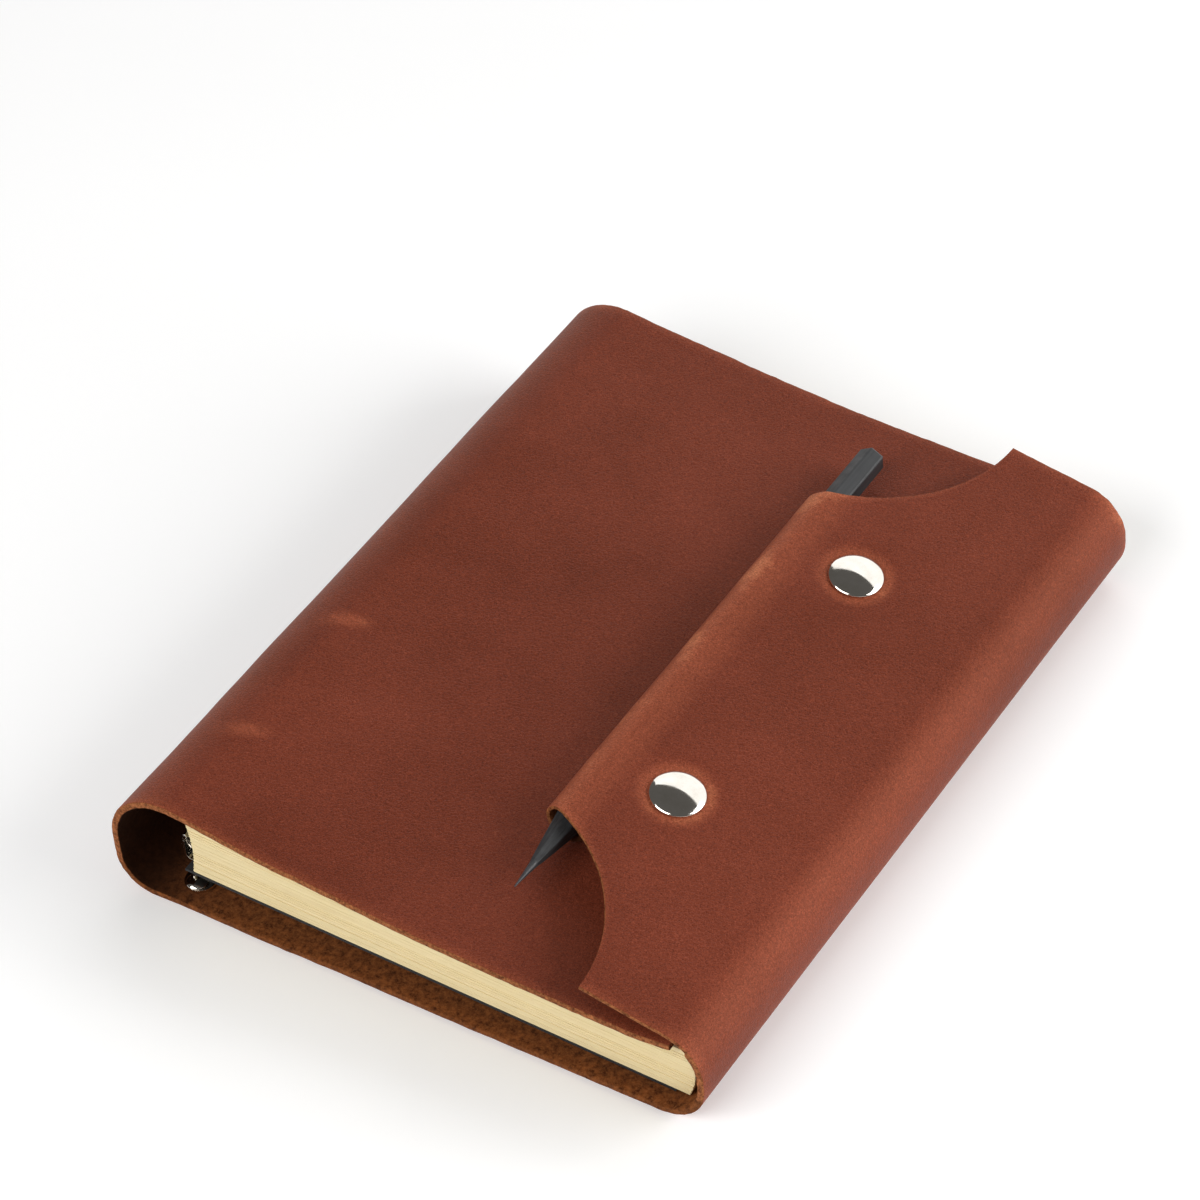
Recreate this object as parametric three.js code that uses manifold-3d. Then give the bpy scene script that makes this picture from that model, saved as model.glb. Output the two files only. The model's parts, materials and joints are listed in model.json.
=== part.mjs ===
// A closed leather ring-binder wrap: one thick hide wrapped round an A5 refill, with a snap flap
// whose end is turned under to make a pencil sleeve. Millimetres.
// +X runs from the spine to the fore-edge, +Y along the spine, +Z up. The origin is the middle of
// the wrap's footprint, on the surface that it lies on.
import * as THREE from "three";
import { mergeVertices } from "three/addons/utils/BufferGeometryUtils.js";
import Module from "manifold-3d";

// ---- Driving dimensions -------------------------------------------------------------------

const LEATHER = 2; // thickness of the hide
const GAP = 0.3; // clearance between neighbouring pieces
const TOUCH = 0.05; // how far joined shapes run into each other before they are fused

const PAPER_WIDTH = 148; // A5 refill
const PAPER_LENGTH = 210;
const PAPER_AT_RINGS = 17.2; // thickness of the refill at its punched side
const PAPER_AT_FORE_EDGE = 15.6; // and pressed thinner at the other
const PAPER_SHIFT = -1.4; // how far the refill lies towards the near end
const PAPER_LEFT_BOW = 0.9; // the sheets' edges bow out to the ring side by this much
const PAPER_RIGHT_BOW = 2; // and past the straight stack at the fore-edge by this much
const BACKING = 0.8; // thickness of the black card under the refill
const BACKING_STEP = 2.8; // how far the card reaches past the sheets at the spine
const BACKING_SHORT = 4; // and how far it stops short of them at the fore-edge
const HOLE = 5.6; // width of a punched hole
const HOLE_MARGIN = 4.3; // from the ring centre to the near side of the punching

const PLATE_WIDTH = 13.2; // arched cover plate of the ring mechanism
const PLATE_HEIGHT = 6.2;
const PLATE_CORNER = 4.4;
const PLATE_SHEET = 0.8;
const PLATE_PAST_PAPER = 2; // the plate is longer than the sheets by this much at each end
const TONGUE = 10.4; // flat tongue at each end of the plate, which the rivet holds down
const TONGUE_WIDTH = 8.6;
const RAIL_FROM_END = 15; // the rails stop this far inside the ends of the plate
const RAIL_SHEET = 1;
const RING_SPARE = 3.4; // from the middle of the wire to the refill, above it and below it
const RING_WIRE = 2.8;
const RING_SINK = 2.2; // how far the bottom of the wire circle lies under the top of the plate
const RING_OFFSET = -1.4; // ring centre from the edge of the sheets
const RING_STATIONS = [-73, -54, -35, 35, 54, 73]; // the A5 six-hole pattern, with 19 mm between holes
const RING_SWING = 12; // degrees that each half opens

const TRIGGER_FROM_END = 12; // pivot from the end of the plate
const TRIGGER_LIFT = 2.1; // of the pivot, over the floor of the plate
const TRIGGER_SHEET = 1.2;
const TRIGGER_DEPTH = 3.4; // of the tab, along the plate
const TRIGGER_TOP = 15.2;
const TRIGGER_REACH = 6.8; // of the tab, from the middle of the plate towards the spine
const TRIGGER_FINGER = 3.6; // from the pivot to the end under the rails

const RIVET_FROM_END = 2.8; // rivet centre from the end of the plate
const RIVET_SHANK = 1.5;
const RIVET_HEAD = 3;
const RIVET_FOOT = 4.5;
const RIVET_HEAD_HEIGHT = 1.2;
const RIVET_FOOT_HEIGHT = 0.7;

const END_MARGIN = 6; // the hide reaches past the refill by this much at each end
const HEAD_ROOM = 2.3; // over the closed rings
const SPINE_ROOM = 4.5; // from the closed rings to the inside of the spine
const SPINE_TOP_RADIUS = 18.8;
const SPINE_FOOT_RADIUS = 11;
const FORE_ROOM = 7.2; // from the sheets to the outside of the fore-edge bend
const FORE_RADIUS = 13.6; // lower bend of the fore-edge
const FORE_TOP_RADIUS = 13.2; // upper bend, where the flap leaves it
const FORE_STRAIGHT = 2.6; // from one bend's centre to the other's
const COVER_FALL = 9; // degrees that the front cover falls where it leaves the spine
const COVER_SHORT = 2; // the front cover ends this far inside the sheets
const COVER_LIFT = 2.6; // room over the sheets at its free edge
const COVER_END_FALL = 1; // degrees that it still falls at its free edge

const SNAP_FROM_FORE = 45.4; // from the outside of the fore-edge bend to the snaps
const SNAP_HALF_PITCH = 45.3;
const SLEEVE_FROM_SNAP = 20.5; // snap centre to the centre of the sleeve
const PENCIL_FLATS = 7; // pencil across its flats
const PENCIL_LENGTH = 180;
const PENCIL_CONE = 26;
const PENCIL_SHIFT = 0.3; // middle of the pencil from the middle of the sleeve
const LEAD = 1; // radius
const CUT_RADIUS = 48.2; // round cut-outs at the ends of the flap
const CUT_FROM_SLEEVE = 16.4; // their centres lie this far beyond the sleeve centre
const CUT_PAST_END = 1.4; // and this far past the ends of the wrap
const TURN_UNDER = 27; // from the sleeve centre to the end of the turned-under hide
const SLEEVE_RISE = 12; // degrees past its lowest line where that hide leaves the round of the sleeve

const CAP_RADIUS = 7.5;
const CAP_HEIGHT = 2.1;
const CAP_SHANK = 2;
const SOCKET_RADIUS = 6.2;
const SOCKET_HEIGHT = 3.2;
const SOCKET_BORE = 3.9;
const SOCKET_DISC = 1;
const STUD_FLANGE = 5.2;
const STUD_BOSS = 3;
const STUD_CLEAR = 0.87; // from the top of the stud to the shank inside the socket
const POST_SHANK = 1.2;
const POST_DISC = 5;
const POST_DISC_HEIGHT = 0.6;

const ARC_STEP = 9; // degrees between points on a bend
const ROUND = 24; // sides of a turned piece

// ---- Places that follow from them ---------------------------------------------------------

const rad = THREE.MathUtils.degToRad;
const v2 = (x, z) => new THREE.Vector2(x, z);

const wireRadius = RING_WIRE / 2;
const ringRadius = PAPER_AT_RINGS / 2 + RING_SPARE; // to the middle of the wire
const plateLength = PAPER_LENGTH + 2 * PLATE_PAST_PAPER;
const railLength = plateLength - 2 * RAIL_FROM_END;
const triggerPivotY = plateLength / 2 - TRIGGER_FROM_END;
const sleeveInner = PENCIL_FLATS / Math.sqrt(3) + GAP; // clears the corners of the hexagon
const sleeveOuter = sleeveInner + LEATHER;
const layers = 2 * LEATHER + GAP; // flap and turned-under hide together

const coverLength = PAPER_LENGTH + 2 * END_MARGIN;
const endY = coverLength / 2;
const spineRoom = LEATHER + SPINE_ROOM + wireRadius + ringRadius - RING_OFFSET;
const width = spineRoom + PAPER_WIDTH + FORE_ROOM;
const left = -width / 2;
const right = width / 2;
const paperLeft = left + spineRoom;
const paperRight = paperLeft + PAPER_WIDTH;
const ringX = paperLeft + RING_OFFSET;

const plateFloor = LEATHER + GAP;
const plateTop = plateFloor + PLATE_HEIGHT;
const ringZ = plateTop - RING_SINK + ringRadius;
const height = ringZ + ringRadius + wireRadius + HEAD_ROOM + LEATHER; // top of the spine

const paperLeftZ = plateTop + GAP + BACKING + GAP; // the card lies on the plate, the sheets on the card
const foreInner = FORE_RADIUS - LEATHER;
const paperFromBend = PAPER_WIDTH + spineRoom - (width - FORE_RADIUS);
const paperRightZ = FORE_RADIUS - Math.sqrt(foreInner ** 2 - paperFromBend ** 2) + 1.5 * GAP;
const paperSlope = (paperRightZ - paperLeftZ) / PAPER_WIDTH;
const paperTopRight = paperRightZ + PAPER_AT_FORE_EDGE;
const paperNear = PAPER_SHIFT - PAPER_LENGTH / 2;

const spineTop = v2(left + SPINE_TOP_RADIUS, height - SPINE_TOP_RADIUS);
const spineFoot = v2(left + SPINE_FOOT_RADIUS, SPINE_FOOT_RADIUS);
const foreFoot = v2(right - FORE_RADIUS, FORE_RADIUS);
const foreTop = v2(right - FORE_TOP_RADIUS, FORE_RADIUS + FORE_STRAIGHT);

// A point on a circle, by the angle from +X towards +Z.
function onCircle(centre, radius, degrees) {
  return v2(centre.x + radius * Math.cos(rad(degrees)), centre.y + radius * Math.sin(rad(degrees)));
}

// A strip of hide is a list of points along its outside, each with its opposite point on the inside.
// This is one that bends round a centre.
function bend(centre, radius, from, to) {
  const steps = Math.max(1, Math.ceil(Math.abs(to - from) / ARC_STEP));
  return Array.from({ length: steps + 1 }, (_, i) => {
    const angle = from + ((to - from) * i) / steps;
    return [onCircle(centre, radius, angle), onCircle(centre, radius - LEATHER, angle)];
  });
}

// And this is one that follows a curve, with its inside on the right.
function follow(curve, steps) {
  return Array.from({ length: steps + 1 }, (_, i) => {
    const at = curve.getPoint(i / steps);
    const along = curve.getTangent(i / steps);
    return [at, v2(at.x + along.y * LEATHER, at.y - along.x * LEATHER)];
  });
}

// The outside of the front cover, from the spine to the free edge.
const coverStart = onCircle(spineTop, SPINE_TOP_RADIUS, 90 - COVER_FALL);
const coverEnd = v2(paperRight - COVER_SHORT, paperTopRight + COVER_LIFT + LEATHER);
const coverReach = (coverEnd.x - coverStart.x) / 3;
const coverStrip = follow(
  new THREE.CubicBezierCurve(
    coverStart,
    v2(coverStart.x + coverReach, coverStart.y - coverReach * Math.tan(rad(COVER_FALL))),
    v2(coverEnd.x - 1.2 * coverReach, coverEnd.y + coverReach * Math.tan(rad(COVER_END_FALL))),
    coverEnd,
  ),
  20,
);

// Height and slope of the front cover's outside above a given X.
function coverAt(x) {
  const i = Math.max(1, coverStrip.findIndex(([outside]) => outside.x >= x));
  const [a, b] = [coverStrip[i - 1][0], coverStrip[i][0]];
  const slope = (b.y - a.y) / (b.x - a.x);
  return { z: a.y + slope * (x - a.x), tilt: Math.atan(-slope) };
}

// The flap: a straight fall from the top of the sleeve to the fore-edge bend, tangent to both.
const snapX = right - SNAP_FROM_FORE;
const sleeveX = snapX - SLEEVE_FROM_SNAP;
const sleeveBed = Math.max(coverAt(sleeveX - sleeveOuter).z, coverAt(sleeveX).z);
const sleeve = v2(sleeveX, sleeveBed + GAP + sleeveOuter);
const between = foreTop.clone().sub(sleeve);
const flapFall =
  Math.atan2(-between.y, between.x) - Math.asin((FORE_TOP_RADIUS - sleeveOuter) / between.length());
const flapNormal = v2(Math.sin(flapFall), Math.cos(flapFall));
const flapAlong = v2(Math.cos(flapFall), -Math.sin(flapFall));
const flapAngle = 90 - THREE.MathUtils.radToDeg(flapFall); // of the normal, from +X
const sleeveCrest = sleeve.clone().addScaledVector(flapNormal, sleeveOuter);

// A point under the flap's outside: along it from the crest of the sleeve, and into it.
function onFlap(along, depth) {
  return sleeveCrest.clone().addScaledVector(flapAlong, along).addScaledVector(flapNormal, -depth);
}

const snapAlong = (snapX - sleeveCrest.x) / flapAlong.x;
const snapTop = onFlap(snapAlong, 0);

// The fold lines, on the outside of the hide, at the middle of each bend.
const SPINE_FOLD = 225;
const COVER_FOLD = 130;
const FORE_FOLD = -45;
const FLAP_FOLD = 50;

// ---- Making solids ------------------------------------------------------------------------

const wasm = await Module();
wasm.setup();

function solid(geometry) {
  const bare = geometry.clone();
  bare.deleteAttribute("normal");
  bare.deleteAttribute("uv");
  const merged = mergeVertices(bare, 1e-4);
  return new wasm.Manifold(
    new wasm.Mesh({
      numProp: 3,
      vertProperties: new Float32Array(merged.attributes.position.array),
      triVerts: new Uint32Array(merged.index.array),
    }),
  );
}

function geometryOf(made) {
  const mesh = made.getMesh();
  return new THREE.BufferGeometry()
    .setAttribute("position", new THREE.BufferAttribute(new Float32Array(mesh.vertProperties), 3))
    .setIndex(new THREE.BufferAttribute(new Uint32Array(mesh.triVerts), 1));
}

function cut(geometry, ...tools) {
  return geometryOf(tools.reduce((whole, tool) => whole.subtract(solid(tool)), solid(geometry)));
}

function fuse(first, ...others) {
  return geometryOf(others.reduce((whole, other) => whole.add(solid(other)), solid(first)));
}

function common(a, b) {
  return geometryOf(solid(a).intersect(solid(b)));
}

// An outline in X and Z, pulled along Y from one place to another.
function pulled(outline, fromY, toY) {
  return new THREE.ExtrudeGeometry(outline, { depth: toY - fromY, bevelEnabled: false, curveSegments: 6 })
    .rotateX(Math.PI / 2)
    .translate(0, toY, 0);
}

function hide(strip, fromY, toY) {
  const outside = strip.map(([point]) => point);
  const inside = strip.map(([, point]) => point);
  return pulled(new THREE.Shape([...outside, ...inside.reverse()]), fromY, toY);
}

function block(fromX, toX, fromY, toY, fromZ, toZ) {
  return new THREE.BoxGeometry(toX - fromX, toY - fromY, toZ - fromZ).translate(
    (fromX + toX) / 2,
    (fromY + toY) / 2,
    (fromZ + toZ) / 2,
  );
}

// A piece turned about +Z, from a profile of [radius, height] pairs whose outside runs upwards.
function turned(profile) {
  return new THREE.LatheGeometry(profile.map(([r, z]) => v2(r, z)), ROUND).rotateX(Math.PI / 2);
}

function upright(radius, fromZ, toZ) {
  return new THREE.CylinderGeometry(radius, radius, toZ - fromZ, ROUND)
    .rotateX(Math.PI / 2)
    .translate(0, 0, (fromZ + toZ) / 2);
}

// Turns a shape made about +Z to lean towards +X, and sets it at a place.
function leaned(geometry, tilt, at, y) {
  return geometry.rotateY(tilt).translate(at.x, y, at.y);
}

// ---- Materials ----------------------------------------------------------------------------

function finish(color, roughness, metalness) {
  return new THREE.MeshStandardMaterial({ color, roughness, metalness });
}

const brownHide = finish(0x6f3428, 0.55, 0);
const nickel = finish(0xd8d4cc, 0.2, 1);
const cream = finish(0xe2cf9c, 0.85, 0);
const blackCard = finish(0x1c1b1b, 0.7, 0);
const blackPaint = finish(0x26262a, 0.5, 0);
const graphite = finish(0x3a3a3e, 0.4, 0.3);

const wrap = new THREE.Group();

function add(name, geometry, material, parent = wrap) {
  const mesh = new THREE.Mesh(geometry, material);
  mesh.name = name;
  parent.add(mesh);
  return mesh;
}

// ---- The hide, parted at its four folds ---------------------------------------------------

// Half the parting gap, as an angle on a bend of this radius.
function gapAngle(radius) {
  return THREE.MathUtils.radToDeg(GAP / 2 / radius);
}

const rivetY = plateLength / 2 - RIVET_FROM_END;
const snapYs = [-SNAP_HALF_PITCH, SNAP_HALF_PITCH];
const studFoot = v2(0, 0);
{
  const bore = onFlap(snapAlong, layers + GAP + SOCKET_HEIGHT / 2);
  const lean = coverAt(bore.x).tilt;
  studFoot.x = bore.x - (bore.y - coverAt(bore.x).z) * Math.sin(lean);
  studFoot.y = coverAt(studFoot.x).z;
}
const studTilt = coverAt(studFoot.x).tilt;
const shankFoot = onFlap(snapAlong, layers + GAP + SOCKET_DISC + GAP);
const studHeight = Math.hypot(shankFoot.x - studFoot.x, shankFoot.y - studFoot.y) - STUD_CLEAR;

function backCover() {
  const strip = [
    ...bend(foreFoot, FORE_RADIUS, FORE_FOLD - gapAngle(FORE_RADIUS), -90),
    ...bend(spineFoot, SPINE_FOOT_RADIUS, 270, SPINE_FOLD + gapAngle(SPINE_FOOT_RADIUS)),
  ];
  const cuts = [-rivetY, rivetY].flatMap((y) => [
    upright(RIVET_SHANK + GAP, -1, plateFloor).translate(ringX, y, 0),
    upright(RIVET_FOOT + GAP, -1, RIVET_FOOT_HEIGHT + GAP).translate(ringX, y, 0),
  ]);
  return cut(hide(strip, -endY, endY), ...cuts);
}

function spine() {
  const foot = bend(spineFoot, SPINE_FOOT_RADIUS, SPINE_FOLD - gapAngle(SPINE_FOOT_RADIUS), 180);
  const top = bend(spineTop, SPINE_TOP_RADIUS, 180, COVER_FOLD + gapAngle(SPINE_TOP_RADIUS));
  return hide([...foot, ...top], -endY, endY);
}

function frontCover() {
  const from = COVER_FOLD - gapAngle(SPINE_TOP_RADIUS);
  const strip = [...bend(spineTop, SPINE_TOP_RADIUS, from, 90 - COVER_FALL), ...coverStrip.slice(1)];
  const holes = snapYs.map((y) =>
    leaned(upright(POST_SHANK + GAP, -2 * LEATHER, LEATHER), studTilt, studFoot, y),
  );
  return cut(hide(strip, -endY, endY), ...holes);
}

function foreEdge() {
  const top = bend(foreTop, FORE_TOP_RADIUS, FLAP_FOLD - gapAngle(FORE_TOP_RADIUS), 0);
  const foot = bend(foreFoot, FORE_RADIUS, 0, FORE_FOLD + gapAngle(FORE_RADIUS));
  return hide([...top, ...foot], -endY, endY);
}

function flap() {
  const fold = 180; // the leftmost line of the sleeve, where the turned-under part starts
  const cutX = sleeveX - CUT_FROM_SLEEVE;
  const cutY = endY + CUT_PAST_END;
  const foldX = sleeveX - sleeveOuter;
  const sleeveY = cutY - Math.sqrt(CUT_RADIUS ** 2 - (foldX - cutX) ** 2);
  const overLap = THREE.MathUtils.radToDeg(TOUCH / sleeveOuter);
  const top = [
    ...bend(sleeve, sleeveOuter, fold, flapAngle),
    ...bend(foreTop, FORE_TOP_RADIUS, flapAngle, FLAP_FOLD + gapAngle(FORE_TOP_RADIUS)),
  ];
  // Under the pencil the turned-under hide leaves the round of the sleeve and rises to the flap.
  const rise = onCircle(sleeve, sleeveOuter, 270 + SLEEVE_RISE);
  const pinch = onFlap(snapAlong - SOCKET_RADIUS, layers);
  const reach = (pinch.x - rise.x) / 2.6;
  const slope = rad(SLEEVE_RISE);
  const under = [
    ...follow(new THREE.LineCurve(onFlap(snapAlong + TURN_UNDER - SLEEVE_FROM_SNAP, layers), pinch), 1),
    ...follow(
      new THREE.CubicBezierCurve(
        pinch,
        pinch.clone().addScaledVector(flapAlong, -reach),
        v2(rise.x + reach * Math.cos(slope), rise.y + reach * Math.sin(slope)),
        rise,
      ),
      8,
    ).slice(1),
    ...bend(sleeve, sleeveOuter, 270 + SLEEVE_RISE, fold - overLap).slice(1),
  ];
  const ends = [-1, 1].map((end) =>
    new THREE.CylinderGeometry(CUT_RADIUS, CUT_RADIUS, 2 * height, 4 * ROUND)
      .rotateX(Math.PI / 2)
      .translate(cutX, end * cutY, height),
  );
  const holes = snapYs.map((y) =>
    leaned(upright(CAP_SHANK + GAP, -2 * layers, LEATHER), flapFall, snapTop, y),
  );
  const sheet = cut(hide(top, -endY, endY), ...ends);
  return cut(fuse(sheet, hide(under, -sleeveY, sleeveY)), ...holes);
}

add("back_cover_leather", backCover(), brownHide);
add("spine_leather", spine(), brownHide);
add("front_cover_leather", frontCover(), brownHide);
add("fore_edge_leather", foreEdge(), brownHide);
add("flap_leather", flap(), brownHide);

// ---- The refill: a block of sheets on a black card -----------------------------------------

// Each punching leaves room for its half ring to swing open.
function punchings() {
  const swing = (ringZ - plateFloor) * Math.sin(rad(RING_SWING));
  const toX = ringX + ringRadius + wireRadius + swing + GAP;
  return RING_STATIONS.map((y) =>
    block(ringX + HOLE_MARGIN, toX, y - HOLE / 2, y + HOLE / 2, 0, height),
  );
}

function paperBlock() {
  const outline = new THREE.Shape();
  const topLeft = paperLeftZ + PAPER_AT_RINGS;
  const bulge = paperRight + 2 * PAPER_RIGHT_BOW;
  outline.moveTo(paperLeft, paperLeftZ);
  outline.lineTo(paperRight, paperRightZ);
  outline.quadraticCurveTo(bulge, (paperRightZ + paperTopRight) / 2, paperRight, paperTopRight);
  outline.lineTo(paperLeft, topLeft);
  outline.quadraticCurveTo(paperLeft + 2 * PAPER_LEFT_BOW, (paperLeftZ + topLeft) / 2, paperLeft, paperLeftZ);
  return cut(pulled(outline, paperNear, paperNear + PAPER_LENGTH), ...punchings());
}

function backingCard() {
  const [fromX, toX] = [-BACKING_STEP, PAPER_WIDTH - BACKING_SHORT];
  const underside = (x) => paperLeftZ - GAP - BACKING + paperSlope * x;
  const outline = new THREE.Shape([
    v2(paperLeft + fromX, underside(fromX)),
    v2(paperLeft + toX, underside(toX)),
    v2(paperLeft + toX, underside(toX) + BACKING),
    v2(paperLeft + fromX, underside(fromX) + BACKING),
  ]);
  return cut(pulled(outline, paperNear, paperNear + PAPER_LENGTH), ...punchings());
}

add("paper_block", paperBlock(), cream);
add("backing_card", backingCard(), blackCard);

// ---- The ring mechanism ---------------------------------------------------------------------

function plateOutline(grow) {
  const half = PLATE_WIDTH / 2 - grow;
  const top = PLATE_HEIGHT - grow;
  const corner = PLATE_CORNER - grow;
  const outline = new THREE.Shape();
  outline.moveTo(-half, 0);
  outline.lineTo(half, 0);
  outline.lineTo(half, top - corner);
  outline.absarc(half - corner, top - corner, corner, 0, Math.PI / 2, false);
  outline.absarc(corner - half, top - corner, corner, Math.PI / 2, Math.PI, false);
  outline.lineTo(-half, 0);
  return outline;
}

function ringPlate() {
  const end = plateLength / 2;
  const archEnd = end - TONGUE;
  const shell = cut(
    pulled(plateOutline(0), -archEnd, archEnd),
    pulled(plateOutline(PLATE_SHEET), -end, end).translate(0, 0, -TOUCH),
  );
  // Each tongue is a round-ended strip, joined to the arch by a wider root.
  const round = TONGUE_WIDTH / 2;
  const root = PLATE_WIDTH / 2 - PLATE_SHEET + TOUCH;
  const tongues = [-1, 1].flatMap((side) => [
    upright(round, 0, PLATE_SHEET).translate(0, side * (end - round), 0),
    new THREE.BoxGeometry(2 * round, TONGUE - round, PLATE_SHEET).translate(
      0,
      side * (archEnd + (TONGUE - round) / 2),
      PLATE_SHEET / 2,
    ),
    new THREE.BoxGeometry(2 * root, 3 * PLATE_SHEET, PLATE_SHEET).translate(
      0,
      side * archEnd,
      PLATE_SHEET / 2,
    ),
  ]);
  const windows = RING_STATIONS.flatMap((y) =>
    [-1, 1].map((side) => {
      const [a, b] = [side * 0.9, side * PLATE_WIDTH];
      const halfWindow = wireRadius + 2 * GAP;
      return block(
        Math.min(a, b),
        Math.max(a, b),
        y - halfWindow,
        y + halfWindow,
        PLATE_HEIGHT / 3,
        2 * PLATE_HEIGHT,
      );
    }),
  );
  const rivetHoles = [-rivetY, rivetY].map((y) => upright(RIVET_SHANK + GAP, -1, 2).translate(0, y, 0));
  return cut(fuse(shell, ...tongues), ...windows, ...rivetHoles).translate(ringX, 0, plateFloor);
}

const railTop = ringZ - ringRadius - wireRadius - GAP;
const railHinge = v2(PLATE_WIDTH / 2 - PLATE_SHEET - GAP, railTop - RAIL_SHEET / 2);

// One leaf of the toggle under the plate. side is -1 for the spine side, 1 for the page side.
function rail(side) {
  const inner = side * 0.4;
  const outer = side * railHinge.x;
  return block(
    ringX + Math.min(inner, outer),
    ringX + Math.max(inner, outer),
    -railLength / 2,
    railLength / 2,
    railTop - RAIL_SHEET,
    railTop,
  );
}

// The lever at the far end: a finger under the rails, and a tab that bends up beside the sheets.
function trigger() {
  const [floor, tabLow] = [plateFloor + 0.1, plateFloor + 2.7];
  const crank = new THREE.Shape([
    v2(triggerPivotY - TRIGGER_FINGER, floor),
    v2(triggerPivotY - 0.8, floor),
    v2(triggerPivotY - 0.1, tabLow),
    v2(triggerPivotY + 3, tabLow),
    v2(triggerPivotY + 3, tabLow + TRIGGER_SHEET),
    v2(triggerPivotY - 1.6, tabLow + TRIGGER_SHEET),
    v2(triggerPivotY - 2, floor + 0.8),
    v2(triggerPivotY - TRIGGER_FINGER, floor + 0.8),
  ]);
  const finger = new THREE.ExtrudeGeometry(crank, { depth: 1.5, bevelEnabled: false })
    .rotateY(Math.PI / 2)
    .rotateX(Math.PI / 2)
    .translate(ringX - 0.75, 0, 0);
  const [tabLeft, turn] = [ringX - TRIGGER_REACH, 3];
  const tab = new THREE.Shape();
  const sheet = TRIGGER_SHEET;
  tab.moveTo(ringX + 3, tabLow);
  tab.lineTo(ringX + 3, tabLow + sheet);
  tab.lineTo(tabLeft + turn, tabLow + sheet);
  tab.absarc(tabLeft + turn, tabLow + turn, turn - sheet, -Math.PI / 2, -Math.PI, true);
  tab.lineTo(tabLeft + sheet, TRIGGER_TOP - turn);
  tab.absarc(tabLeft + turn, TRIGGER_TOP - turn, turn - sheet, Math.PI, 0.62 * Math.PI, true);
  tab.absarc(tabLeft + turn, TRIGGER_TOP - turn, turn, 0.62 * Math.PI, Math.PI, false);
  tab.lineTo(tabLeft, tabLow + turn);
  tab.absarc(tabLeft + turn, tabLow + turn, turn, Math.PI, 1.5 * Math.PI, false);
  const fromY = triggerPivotY + 2;
  const half = PLATE_WIDTH / 2 - PLATE_SHEET - GAP;
  const axle = new THREE.CylinderGeometry(0.8, 0.8, 2 * half, 12)
    .rotateZ(Math.PI / 2)
    .translate(ringX, triggerPivotY, plateFloor + TRIGGER_LIFT);
  return fuse(finger, axle, pulled(tab, fromY, fromY + TRIGGER_DEPTH));
}

class WireArc extends THREE.Curve {
  constructor(side) {
    super();
    this.side = side;
    this.foot = rad(6); // the wire starts this far from the bottom of its circle
    this.tip = Math.PI - GAP / 2 / ringRadius;
  }

  getPoint(t) {
    const turn = this.foot + t * (this.tip - this.foot);
    return new THREE.Vector3(
      ringX + this.side * ringRadius * Math.sin(turn),
      0,
      ringZ - ringRadius * Math.cos(turn),
    );
  }
}

function halfRing(side) {
  const section = new THREE.Shape().absarc(0, 0, wireRadius, 0, 2 * Math.PI, false);
  return new THREE.ExtrudeGeometry(section, {
    extrudePath: new WireArc(side),
    steps: 13,
    curveSegments: 6,
  });
}

function mountingRivet() {
  const headZ = plateFloor + PLATE_SHEET + GAP;
  return turned([
    [0, TOUCH],
    [RIVET_FOOT * 0.8, TOUCH],
    [RIVET_FOOT, RIVET_FOOT_HEIGHT / 2],
    [RIVET_FOOT, RIVET_FOOT_HEIGHT],
    [RIVET_SHANK, RIVET_FOOT_HEIGHT],
    [RIVET_SHANK, headZ],
    [RIVET_HEAD, headZ],
    [RIVET_HEAD, headZ + RIVET_HEAD_HEIGHT * 0.3],
    [RIVET_HEAD * 0.6, headZ + RIVET_HEAD_HEIGHT * 0.85],
    [0, headZ + RIVET_HEAD_HEIGHT],
  ]);
}

add("ring_plate", ringPlate(), nickel);
for (const [name, side] of [["left", -1], ["right", 1]]) {
  add(`ring_rail_${name}`, rail(side), nickel);
  RING_STATIONS.forEach((y, i) => {
    add(`half_ring_${name}_${i + 1}`, halfRing(side), nickel).position.y = y;
  });
}
for (const [name, side] of [["near", -1], ["far", 1]]) {
  add(`ring_trigger_${name}`, trigger(), nickel).scale.y = side;
  add(`mounting_rivet_${name}`, mountingRivet(), nickel).position.set(ringX, side * rivetY, 0);
}

// ---- The snap fasteners -----------------------------------------------------------------------

function snapCap() {
  const foot = -layers - GAP - SOCKET_DISC - GAP;
  const dome = [0.97, 0.88, 0.72, 0.5, 0.25, 0].map((share) => [
    share * CAP_RADIUS,
    GAP + 0.5 + (CAP_HEIGHT - 0.5) * Math.sqrt(1 - share ** 2),
  ]);
  return turned([
    [0, foot],
    [CAP_SHANK, foot],
    [CAP_SHANK, GAP],
    [CAP_RADIUS - 0.3, GAP],
    [CAP_RADIUS, GAP + 0.2],
    [CAP_RADIUS, GAP + 0.55],
    ...dome,
  ]);
}

function snapSocket() {
  const top = -layers - GAP;
  const bottom = top - SOCKET_HEIGHT;
  return turned([
    [CAP_SHANK + GAP, top],
    [CAP_SHANK + GAP, top - SOCKET_DISC],
    [SOCKET_BORE, top - SOCKET_DISC],
    [SOCKET_BORE, bottom],
    [SOCKET_RADIUS - 0.5, bottom],
    [SOCKET_RADIUS, bottom + 0.5],
    [SOCKET_RADIUS, top - 0.3],
    [SOCKET_RADIUS - 0.3, top],
    [CAP_SHANK + GAP, top],
  ]);
}

function snapStud() {
  const bore = POST_SHANK + GAP;
  return turned([
    [bore, GAP],
    [STUD_FLANGE, GAP],
    [STUD_FLANGE, GAP + 0.5],
    [STUD_BOSS, GAP + 0.9],
    [STUD_BOSS, 0.6 * studHeight],
    [STUD_BOSS + 0.25, 0.75 * studHeight],
    [STUD_BOSS, 0.9 * studHeight],
    [STUD_BOSS - 0.6, studHeight],
    [bore, studHeight],
    [bore, GAP],
  ]);
}

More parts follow.
